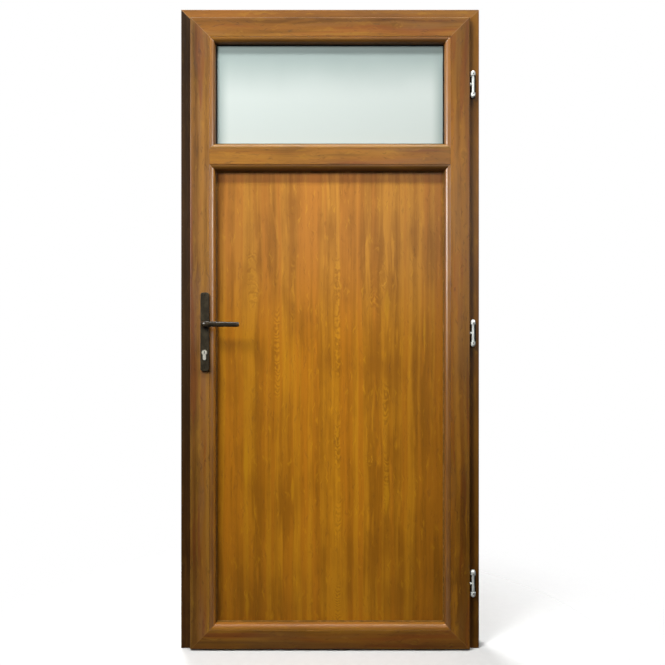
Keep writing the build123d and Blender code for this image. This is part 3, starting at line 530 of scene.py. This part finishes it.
moulded_skin = {"clouds": 35, "blur": 0.2, "skin_scale": 1300, "skin_deep": 0.0001}
anodised_sill = brushed_finish(
    "anodised_sill", (0.60, 0.60, 0.59), rough=0.42, stretch=(0.02, 1.0, 1.0), lines=900
)
black_plastic = clouded_finish(
    "black_plastic",
    pale=colour(0.03, 0.03, 0.031),
    deep=colour(0.014, 0.014, 0.015),
    rough=0.48,
    shine=0.5,
    **moulded_skin,
)
dress(anodised_sill, "threshold")
dress(black_plastic, "threshold_blocks", "setting_blocks")


# Keeps: zinc-plated steel blocks screwed to the lock jamb, with the slots that the latch and
# bolts enter. The frame screws hold keeps and hinge plates.
zinc_plate = zinc_finish("zinc_plated_steel", (0.62, 0.61, 0.57), spangles=420, rough=0.36)
dress(zinc_plate, "keep_lock", "keep_bolts", "frame_screws")


# Hinges: three side hinges. A dark plate is screwed to the hinge jamb, two silver knuckles with
# domed ends stand on it, and a pin through them carries the sleeve that is bolted to the leaf.
silver_steel = brushed_finish(
    "hinge_silver",
    (0.77, 0.80, 0.76),
    rough=0.3,
    stretch=(1.0, 1.0, 0.05),
    lines=800,
    metal=0.3,
)
# The plate's near-black tone is partly its own dark finish and partly painted shade round the
# knuckles.
hinge_dark_and_shade = clouded_finish(
    "hinge_plate_dark_and_shade",
    pale=colour(0.018, 0.015, 0.010),
    deep=colour(0.007, 0.006, 0.004),
    rough=0.55,
    shine=0.1,
    **moulded_skin,
)
hinge_heights = ("top", "middle", "bottom")
dress(silver_steel, "hinge_knuckles", "hinge_pins")
dress(silver_steel, *(f"hinge_sleeve_{height}" for height in hinge_heights))
dress(hinge_dark_and_shade, "hinge_plates")


# Grub screws: one hardened steel screw with a hexagon socket in the front of each hinge knuckle.
# It is turned in until it clamps the pin.
def socket_screw(name, radius, socket, length, deep):
    """A screw at the origin whose head faces -Y, with a hexagon socket in it."""
    round_sides, socket_sides, edge_share, face_share = 24, 6, 0.08, 0.1
    to_front = (math.radians(90), 0, 0)
    bpy.ops.object.select_all(action="DESELECT")
    bpy.ops.mesh.primitive_circle_add(vertices=round_sides, radius=radius, rotation=to_front)
    screw = bpy.context.object
    screw.name = name
    bpy.ops.object.transform_apply(rotation=True)
    bpy.ops.object.mode_set(mode="EDIT")
    bpy.ops.mesh.select_mode(type="EDGE")
    bpy.ops.mesh.select_all(action="SELECT")
    bpy.ops.mesh.extrude_region_move(TRANSFORM_OT_translate={"value": (0, length, 0)})
    bpy.ops.mesh.edge_face_add()
    bpy.ops.mesh.primitive_circle_add(vertices=socket_sides, radius=socket, rotation=to_front)
    bpy.ops.mesh.extrude_region_move(TRANSFORM_OT_translate={"value": (0, deep, 0)})
    bpy.ops.mesh.edge_face_add()
    bpy.ops.mesh.select_all(action="DESELECT")
    bpy.ops.object.mode_set(mode="OBJECT")
    corners = screw.data.vertices
    for edge in screw.data.edges:
        edge.select = all(abs(corners[end].co.y) < face_share * deep for end in edge.vertices)
    bpy.ops.object.mode_set(mode="EDIT")
    bpy.ops.mesh.bridge_edge_loops()
    bpy.ops.mesh.select_all(action="SELECT")
    bpy.ops.mesh.normals_make_consistent(inside=False)
    bpy.ops.object.mode_set(mode="OBJECT")
    bevel = screw.modifiers.new("rounded", "BEVEL")
    bevel.width = edge_share * radius
    bevel.segments = 2
    bevel.limit_method = "ANGLE"
    bpy.ops.object.modifier_apply(modifier=bevel.name)
    return screw


def set_screws(screw, places, turn=0.0):
    """Copies a screw to each place, turned about Z, and joins the copies with it."""
    screw.rotation_euler.z = turn
    copies = []
    for place in places[1:]:
        copy = screw.copy()
        copy.data = screw.data.copy()
        bpy.context.scene.collection.objects.link(copy)
        copy.location = place
        copies.append(copy)
    screw.location = places[0]
    bpy.ops.object.select_all(action="DESELECT")
    for piece in [screw, *copies]:
        piece.select_set(True)
    bpy.context.view_layer.objects.active = screw
    bpy.ops.object.transform_apply(location=True, rotation=True, scale=True)
    bpy.ops.object.join()


grub_radius = 0.0027
grub_long = 0.0016
grub_socket = 0.0014
grub_socket_deep = 0.0012
grub_sunk = 0.0004
knuckle_mid = 0.0038
knuckle_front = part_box("hinge_knuckles")[0].y
pin_low, pin_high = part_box("hinge_pins")
pin_x = (pin_low.x + pin_high.x) / 2
grub_places = []
for height in hinge_heights:
    sleeve_low, sleeve_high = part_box(f"hinge_sleeve_{height}")
    for level in (sleeve_low.z - knuckle_mid, sleeve_high.z + knuckle_mid):
        grub_places.append((pin_x, knuckle_front + grub_sunk, level))
grub_screws = socket_screw(
    "hinge_grub_screws", grub_radius, grub_socket, grub_long, grub_socket_deep
)
set_screws(grub_screws, grub_places)
blued = zinc_finish("blued_steel", (0.30, 0.30, 0.29), spangles=900, rough=0.4)
grub_screws.data.materials.append(blued)
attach(grub_screws, "frame")


# Leaf profiles: two stiles, two rails and the transom, of the same foiled plastic as the frame.
# Stiles and rails are mitred and welded at the corners, and the transom is screwed between the
# stiles.
leaf_low, leaf_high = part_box("leaf_stile_lock")
leaf_seams = (-leaf_low.x, leaf_low.z, leaf_high.z)
# A field far larger than the door, so that no welded corner falls on the piece.
no_seams = (2.0, None, 9.0)
foil_gold = colour(0.325, 0.141, 0.016)
foil_brown = colour(0.144, 0.056, 0.0055)
transom_gold = colour(0.32, 0.135, 0.013)
transom_brown = colour(0.162, 0.064, 0.007)
leaf_grain = {"fine": 2.0, "mottled": 0.9, "streaky": 0.65}
welded_look = {"outer": 0.74, "shine": 0.24}
# Painted light and shade on the stiles: darker towards their tops, less bluish towards their feet,
# a bluish painted sheen on the lock stile and a warmer tone without it on the hinge stile.
stile_foil = oak_foil(
    "stile_oak_foil",
    foil_gold,
    foil_brown,
    leaf_seams,
    fades=(
        ("height", 1.6, 2.0, (0.60, 0.61, 0.68)),
        ("height", 1.1, 0.4, (0.98, 0.98, 0.65)),
        ("left", 0.0, 0.3, (0.95, 0.97, 1.45)),
        ("left", 0.0, -0.3, (1.0, 0.92, 0.55)),
    ),
    knots=(
        (0.434, 1.62, 0.009),
        (0.443, 0.25, 0.012),
        (-0.43, 1.21, 0.007),
        (-0.425, 1.95, 0.006),
    ),
    **leaf_grain,
    **welded_look,
)
# Painted shade on the rails: the top rail darker, and the bottom rail darker and warmer at its
# foot.
rail_foil = oak_foil(
    "rail_oak_foil",
    foil_gold,
    foil_brown,
    leaf_seams,
    upright=False,
    fades=(
        ("height", 1.55, 2.0, (0.76, 0.76, 0.76)),
        ("height", 0.25, 0.0, (0.74, 0.70, 0.45)),
    ),
    knots=((2.04, 0.212, 0.009), (0.03, 0.28, 0.008), (2.02, -0.29, 0.006)),
    **leaf_grain,
    **welded_look,
)
transom_foil = oak_foil(
    "transom_oak_foil",
    transom_gold,
    transom_brown,
    no_seams,
    upright=False,
    knots=((1.603, 0.31, 0.007), (1.62, -0.05, 0.006)),
    **leaf_grain,
)
dress(stile_foil, "leaf_stile_lock", "leaf_stile_hinge")
dress(rail_foil, "leaf_rail_top", "leaf_rail_bottom")
dress(transom_foil, "leaf_transom")


# Glass unit: a milky pane to the room and a clear pane outside, glued to an aluminium spacer and
# set on plastic blocks. The milky pane is satin, with painted shade that makes it darker and
# greener near its top and sides.
glass_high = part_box("glass_front_pane")[1]
shade_start = glass_high.z - 0.20
shade_full = glass_high.z - 0.02
rim_start = glass_high.x - 0.06
rim_full = glass_high.x - 0.012
shade_sway = 0.05
milky_tone = colour(0.50, 0.552, 0.525)
# Painted shade at the pane's top and at its sides.
shaded_tone = colour(0.265, 0.324, 0.309)
rim_shade_tone = colour(0.25, 0.31, 0.295)
milky, tree, shader, place = start_finish("milky_glass", rough=0.3)
glass_ways = parted(tree, place)
level = swayed(tree, glass_ways["Z"], grains(tree, place, scale=5, detail=2), shade_sway)
glass_tone = laid(tree, between(tree, level, shade_full, shade_start), shaded_tone, milky_tone)
beside = maths(tree, "ABSOLUTE", glass_ways["X"])
rim = between(tree, beside, rim_full, rim_start, start=0.9, end=0.0)
tree.links.new(laid(tree, rim, glass_tone, rim_shade_tone), shader.inputs["Base Color"])
satin = grains(tree, place, scale=1500, detail=2)
tree.links.new(maths(tree, "MULTIPLY_ADD", satin, 0.1, 0.2), shader.inputs["Roughness"])
raise_by(tree, shader, satin, depth=0.00005, strength=0.2)
shader.inputs["Specular IOR Level"].default_value = 0.12
dress(milky, "glass_front_pane")

# The clear pane mirrors less than real glass, so that the lamps show only faintly in it.
clear_ior = 1.2
clear_tone = colour(0.97, 0.99, 0.98)
smeared_tone = colour(0.93, 0.98, 0.96)
clear, tree, shader, place = start_finish("clear_glass", rough=0.03)
shader.inputs["Transmission Weight"].default_value = 1.0
shader.inputs["IOR"].default_value = clear_ior
smear = grains(tree, place, scale=9, detail=4, rough=0.6)
tree.links.new(laid(tree, smear, smeared_tone, clear_tone), shader.inputs["Base Color"])
tree.links.new(
    between(tree, smear, 0.45, 0.8, start=0.02, end=0.09), shader.inputs["Roughness"]
)
dress(clear, "glass_back_pane")
spacer_aluminium = brushed_finish(
    "spacer_aluminium", (0.68, 0.68, 0.67), rough=0.35, stretch=(0.05, 1.0, 0.05), lines=700
)
dress(spacer_aluminium, "glass_spacer")


# Panel: a foam-filled board with an oak-grain foil on both faces, golden and with its grain
# upright. Arched figure runs up it in columns, as in boards sawn through the heart. Light and shade
# are painted on it: brighter in its middle, darker towards its sides and foot, a bluish painted
# sheen above, painted shadow under the transom and beside the lock-side bead, and painted shade
# beside the hinge-side bead.
panel_gold = colour(0.58, 0.238, 0.009)
panel_brown = colour(0.335, 0.123, 0.005)
panel_foil = oak_foil(
    "panel_oak_foil",
    panel_gold,
    panel_brown,
    no_seams,
    fine=1.1,
    streaky=0.72,
    shine=0.16,
    # Painted light and shade: bright middle, dark foot, sheen above, shadow under the transom and
    # at the rims.
    fades=(
        ("side", 0.04, 0.30, (0.82, 0.82, 0.82)),
        ("height", 0.5, 0.05, (0.80, 0.80, 0.70)),
        ("height", 0.95, 1.4, (0.93, 0.99, 3.6)),
        ("height", 1.528, 1.536, (0.90, 0.84, 1.1)),
        ("left", 0.338, 0.368, (0.57, 0.54, 0.51)),
        ("left", -0.300, -0.350, (0.80, 0.80, 0.85)),
    ),
    knots=(
        (-0.255, 1.18, 0.013),
        (0.175, 1.22, 0.011),
        (0.13, 0.62, 0.008),
        (-0.06, 0.33, 0.007),
    ),
    arches=(
        (0.025, 0.013, 0.05, 1.30, 350.0, 270.0),
        (-0.257, 0.018, 1.05, 1.33, 700.0, -320.0),
        (-0.176, 0.012, 0.80, 1.27, 900.0, 330.0),
        (-0.123, 0.009, 1.05, 1.30, 1100.0, 300.0),
        (0.149, 0.018, 0.95, 1.36, 620.0, -280.0),
        (0.185, 0.012, 0.34, 0.90, 420.0, 330.0),
    ),
    flames=(
        (0.185, 1.13, 0.014, 0.060),
        (0.185, 0.50, 0.012, 0.070),
        (-0.275, 0.60, 0.010, 0.110),
        (-0.123, 0.52, 0.007, 0.060),
        (-0.275, 0.14, 0.009, 0.060),
        (0.31, 1.05, 0.006, 0.110),
    ),
)
dress(panel_foil, "door_panel")


# Glazing beads: foiled plastic strips, mitred at the corners and pressed by a tongue into the
# leaf profiles on the room side. They hold the glass unit and the panel.
bead_gold = colour(0.29, 0.116, 0.016)
bead_brown = colour(0.155, 0.058, 0.008)
# Painted light and shade on the beads: the lock-side panel bead is lighter on its flank towards the
# panel, and the upper level beads are darker and the lower ones lighter.
bead_fades = {
    "panel_bead_lock": (("left", 0.384, 0.378, (1.85, 1.95, 1.4)),),
    "glass_level_beads": (
        ("height", 1.75, 1.9, (0.85, 0.87, 0.60)),
        ("height", 1.9, 1.75, (1.05, 1.28, 1.25)),
    ),
    "panel_level_beads": (
        ("height", 0.5, 1.5, (0.66, 0.70, 0.50)),
        ("height", 1.5, 0.5, (1.18, 1.22, 0.90)),
    ),
}
for field in ("glass", "panel"):
    field_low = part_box(f"{field}_bead_lock")[0]
    field_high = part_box(f"{field}_bead_hinge")[1]
    field_seams = (field_high.x, field_low.z, field_high.z)
    for bead in (f"{field}_bead_lock", f"{field}_bead_hinge"):
        upright_foil = oak_foil(
            f"{bead}_foil",
            bead_gold,
            bead_brown,
            field_seams,
            gloss=0.33,
            shine=0.75,
            fades=bead_fades.get(bead, ()),
        )
        dress(upright_foil, bead)
    level_foil = oak_foil(
        f"{field}_level_bead_foil",
        bead_gold,
        bead_brown,
        field_seams,
        upright=False,
        gloss=0.36,
        shine=0.4,
        fades=bead_fades[f"{field}_level_beads"],
    )
    dress(level_foil, f"{field}_bead_top", f"{field}_bead_bottom")


# Foot brush: a strip of stiff black fibres that closes the gap to the sill. Its holder slides
# into a groove along the foot of the leaf.
fibre_pale = colour(0.06, 0.058, 0.055)
fibre_deep = colour(0.01, 0.01, 0.01)
fibre_stretch = (1.0, 1.0, 0.02)
fibre, tree, shader, place = start_finish("brush_fibre", rough=0.7)
drawn = put(tree, "ShaderNodeMapping", {"Vector": place, "Scale": fibre_stretch}).outputs[0]
hair = grains(tree, drawn, scale=2200, detail=2)
hair_tone = laid(tree, between(tree, hair, 0.35, 0.65), fibre_deep, fibre_pale)
tree.links.new(hair_tone, shader.inputs["Base Color"])
raise_by(tree, shader, hair, depth=0.0004, strength=0.8)
dress(fibre, "foot_brush")


# Lock: a long zinc-plated faceplate let into the edge of the leaf and held by six screws, with
# the lock case behind it. The lever's hub draws the latch back, and the cylinder throws the dead
# bolt and the two bolts.
faceplate_steel = brushed_finish(
    "faceplate_steel", (0.66, 0.65, 0.61), rough=0.34, stretch=(1.0, 1.0, 0.03), lines=900
)
bolt_nickel = brushed_finish(
    "bolt_nickel", (0.74, 0.72, 0.66), rough=0.26, stretch=(0.05, 1.0, 1.0), lines=900
)
dress(faceplate_steel, "lock_faceplate")
dress(zinc_plate, "lock_case", "lock_hub", "lever_spindle")
dress(bolt_nickel, "latch_bolt", "dead_bolt", "bolt_upper", "bolt_lower")
plate_screw_heights = (0.255, 0.55, 0.92, 1.19, 1.48, 1.825)
plate_screw_radius = 0.0036
plate_screw_long = 0.002
plate_socket = 0.0018
plate_socket_deep = 0.0012
plate_screw_proud = 0.0003
plate_screw_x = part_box("lock_faceplate")[0].x - plate_screw_proud
plate_screws = socket_screw(
    "faceplate_screws", plate_screw_radius, plate_socket, plate_screw_long, plate_socket_deep
)
set_screws(
    plate_screws,
    [(plate_screw_x, 0.0, height) for height in plate_screw_heights],
    turn=math.radians(-90),
)
plate_screws.data.materials.append(blued)
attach(plate_screws, "leaf")


# Cylinder: a nickel-plated profile cylinder through lock and handles, with a plug and keyway on
# each side and a cam between them, held by one screw in the faceplate. The inside of each keyway
# is painted dark as shade.
nickel_tone = (0.86, 0.82, 0.70)
nickel_metal = 0.35
keyway_shade_tone = colour(0.012, 0.011, 0.009)
nickel = brushed_finish(
    "cylinder_nickel",
    nickel_tone,
    rough=0.34,
    stretch=(1.0, 0.05, 1.0),
    lines=700,
    metal=nickel_metal,
)
dress(nickel, "cylinder_body", "cylinder_cam")
# Painted shade inside the keyways, from just behind the plug's face inwards.
plug_face = -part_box("cylinder_plugs")[0].y
keyway_shade_start = plug_face - 0.0004
keyway_shade_full = plug_face - 0.0016
plug, tree, shader, place = start_finish("plug_nickel", rough=0.34, metal=nickel_metal)
depth = maths(tree, "ABSOLUTE", parted(tree, place)["Y"])
keyway_shade = between(tree, depth, keyway_shade_start, keyway_shade_full)
turned = grains(tree, place, scale=900, detail=3)
dull_nickel = colour(*(0.88 * part for part in nickel_tone))
plug_tone = laid(tree, turned, dull_nickel, colour(*nickel_tone))
tree.links.new(laid(tree, keyway_shade, plug_tone, keyway_shade_tone), shader.inputs["Base Color"])
tree.links.new(maths(tree, "MULTIPLY_ADD", turned, 0.1, 0.28), shader.inputs["Roughness"])
dress(plug, "cylinder_plugs")


# Handles: dark bronzed plates on both faces of the leaf with lever handles, lacquered satin, on a
# square spindle. Two screws from the outside draw the plates together.
lacquer_skin = {"clouds": 55, "blur": 0.16, "skin_scale": 1600, "skin_deep": 0.00006}
plate_bronze = clouded_finish(
    "plate_dark_bronze",
    pale=colour(0.052, 0.041, 0.023),
    deep=colour(0.026, 0.020, 0.011),
    rough=0.42,
    shine=0.16,
    **lacquer_skin,
)
lever_bronze = clouded_finish(
    "lever_dark_bronze",
    pale=colour(0.050, 0.037, 0.021),
    deep=colour(0.022, 0.016, 0.009),
    rough=0.26,
    shine=0.4,
    **lacquer_skin,
)
dress(plate_bronze, "handle_plate_front", "handle_plate_back", "handle_screws")
dress(lever_bronze, "lever_front", "lever_back")


# Studio: a pale floor that fades out into a white room. A key lamp stands high at the left, a
# strip lamp hangs under the ceiling, a weak lamp stands in front and one high behind the door.
# Two window lamps are seen in the gloss alone.
floor_radius = 3.0
floor_drop = 0.0005
floor_fade_start = 0.35
floor_fade_full = 1.3
floor_pale = colour(0.80, 0.80, 0.79)
floor_dull = colour(0.74, 0.74, 0.73)
floor_bounce = colour(0.12, 0.12, 0.12)
bpy.ops.object.select_all(action="DESELECT")
bpy.ops.mesh.primitive_circle_add(
    vertices=96, radius=floor_radius, fill_type="NGON", location=(0, 0, -floor_drop)
)
floor = bpy.context.object
floor.name = "floor"
floor_finish, tree, shader, place = start_finish("pale_floor", rough=0.6)
reach = put(tree, "ShaderNodeVectorMath", {0: place}, operation="LENGTH").outputs["Value"]
floor_tone = laid(tree, grains(tree, place, scale=40, detail=3), floor_dull, floor_pale)
seen = put(tree, "ShaderNodeLightPath").outputs["Is Camera Ray"]
tree.links.new(laid(tree, seen, floor_bounce, floor_tone), shader.inputs["Base Color"])
veil = put(tree, "ShaderNodeBsdfTransparent")
faded = between(tree, reach, floor_fade_start, floor_fade_full)
fading = put(tree, "ShaderNodeMixShader", {0: faded, 1: shader.outputs[0], 2: veil.outputs[0]})
tree.links.new(fading.outputs[0], tree.nodes["Material Output"].inputs["Surface"])
floor.data.materials.append(floor_finish)


def lamp(name, place, aim, wide, tall, watts, gloss=True, lights=True):
    """An area lamp that may be left out of the gloss, or seen in the gloss alone."""
    light = bpy.data.lights.new(name, "AREA")
    light.shape = "RECTANGLE"
    light.size = wide
    light.size_y = tall
    light.energy = watts
    holder = bpy.data.objects.new(name, light)
    holder.location = place
    holder.rotation_euler = (Vector(aim) - Vector(place)).to_track_quat("-Z", "Y").to_euler()
    holder.visible_glossy = gloss
    holder.visible_diffuse = lights
    bpy.context.scene.collection.objects.link(holder)


lamp("key_lamp", (-1.9, -2.5, 3.3), (0, 0, 1.2), wide=1.1, tall=1.1, watts=127, gloss=False)
lamp("ceiling_lamp", (0, -1.05, 3.8), (0, -0.35, 0.6), wide=3.0, tall=0.3, watts=94)
lamp("front_lamp", (0.3, -2.7, 1.9), (0, 0, 1.4), wide=1.6, tall=0.6, watts=9)
lamp("right_window", (1.9, -2.2, 1.9), (0, 0, 1.6), wide=0.4, tall=0.9, watts=56, lights=False)
lamp("left_window", (-2.5, -1.5, 2.0), (0, 0, 1.5), wide=1.3, tall=1.2, watts=108, lights=False)
lamp("back_lamp", (-1.0, 2.4, 4.2), (0, 0, 1.2), wide=1.8, tall=1.0, watts=230, gloss=False)

world = bpy.data.worlds.new("white_room")
world.use_nodes = True
bpy.context.scene.world = world
tree = world.node_tree
dim = tree.nodes["Background"]
upward = parted(tree, put(tree, "ShaderNodeTexCoord").outputs["Generated"])["Z"]
paths = put(tree, "ShaderNodeLightPath").outputs
soft = between(tree, upward, -0.1, 0.9, start=0.02, end=0.65)
mirrored = between(tree, upward, -0.02, 0.30, start=0.03, end=1.5)
lit = put(tree, "ShaderNodeMix", {0: paths["Is Glossy Ray"], 2: soft, 3: mirrored}).outputs[0]
tree.links.new(lit, dim.inputs["Strength"])
white = put(tree, "ShaderNodeBackground", {"Color": colour(1, 1, 1), "Strength": 1.0})
room = put(
    tree,
    "ShaderNodeMixShader",
    {0: paths["Is Camera Ray"], 1: dim.outputs[0], 2: white.outputs[0]},
)
tree.links.new(room.outputs[0], tree.nodes["World Output"].inputs["Surface"])
bpy.context.scene.view_settings.view_transform = "Standard"


# Camera: stands in front of the door at half its height and looks straight at it, from as far
# away as the photograph shows.
eye = (0.008, -2.213, 1.038)
sensor_mm = 36.0
lens_mm = 36.2
camera_data = bpy.data.cameras.new("camera")
camera_data.sensor_width = sensor_mm
camera_data.lens = lens_mm
camera = bpy.data.objects.new("camera", camera_data)
camera.location = eye
camera.rotation_euler = (math.radians(90), 0, 0)
bpy.context.scene.collection.objects.link(camera)
bpy.context.scene.camera = camera
